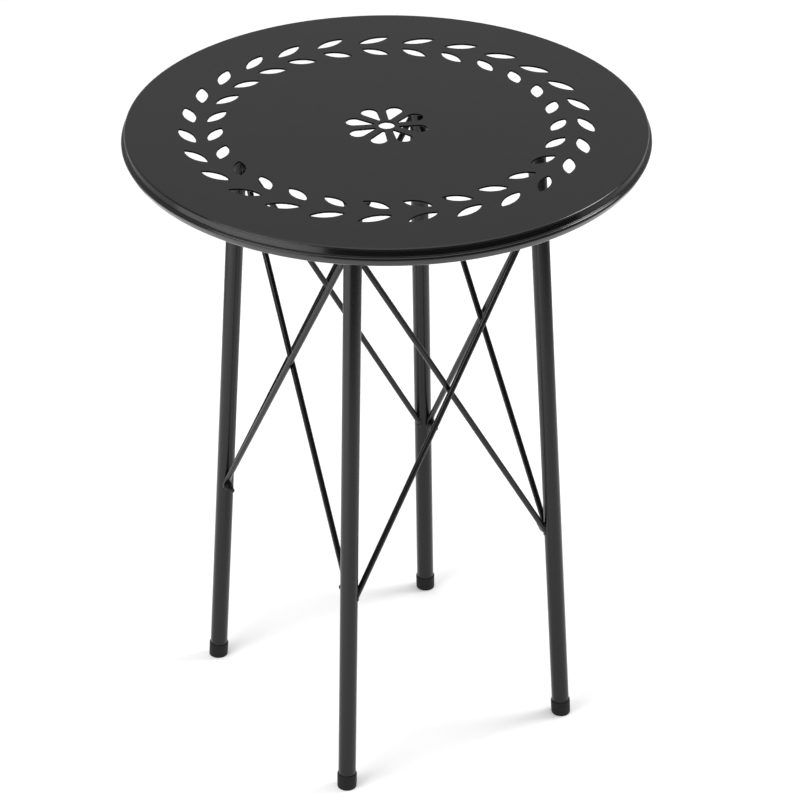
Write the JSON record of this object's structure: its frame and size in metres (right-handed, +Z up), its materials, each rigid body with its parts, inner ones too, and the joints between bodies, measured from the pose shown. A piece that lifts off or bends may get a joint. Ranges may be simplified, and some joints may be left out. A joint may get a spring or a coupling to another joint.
{
  "type": "outdoor side table",
  "caption": "Round metal patio side table: pierced top with leaf wreath and daisy, rolled rim, splayed round tube legs, crossed rod braces and rubber foot caps.",
  "frame": {"origin": "on the floor, under the middle of the round top", "axes": "+Z up through the middle of the top; X runs from the left to the right legs; Y runs from the front to the rear legs"},
  "size_m": [0.5503, 0.5504, 0.7],
  "materials": {
    "top_paint": "satin black powder coat on sheet steel",
    "frame_paint": "satin black powder coat on steel tube and rod",
    "cap_rubber": "matt moulded rubber",
    "fastener_steel": "black zinc plated"
  },
  "bodies": {
    "root": {"table_top": "top_paint", "front_rail": "frame_paint", "rear_rail": "frame_paint", "leg_front_left": "frame_paint", "leg_front_right": "frame_paint", "leg_rear_right": "frame_paint", "leg_rear_left": "frame_paint", "foot_cap_front_left": "cap_rubber", "foot_cap_front_right": "cap_rubber", "foot_cap_rear_right": "cap_rubber", "foot_cap_rear_left": "cap_rubber", "front_brace_outer": "frame_paint", "front_brace_inner": "frame_paint", "rear_brace_outer": "frame_paint", "rear_brace_inner": "frame_paint", "left_brace_outer": "frame_paint", "left_brace_inner": "frame_paint", "right_brace_outer": "frame_paint", "right_brace_inner": "frame_paint", "brace_studs": "fastener_steel", "brace_washers": "fastener_steel", "brace_nuts": "fastener_steel", "top_studs": "fastener_steel", "top_washers": "fastener_steel", "top_nuts": "fastener_steel"}
  },
  "joints": []
}
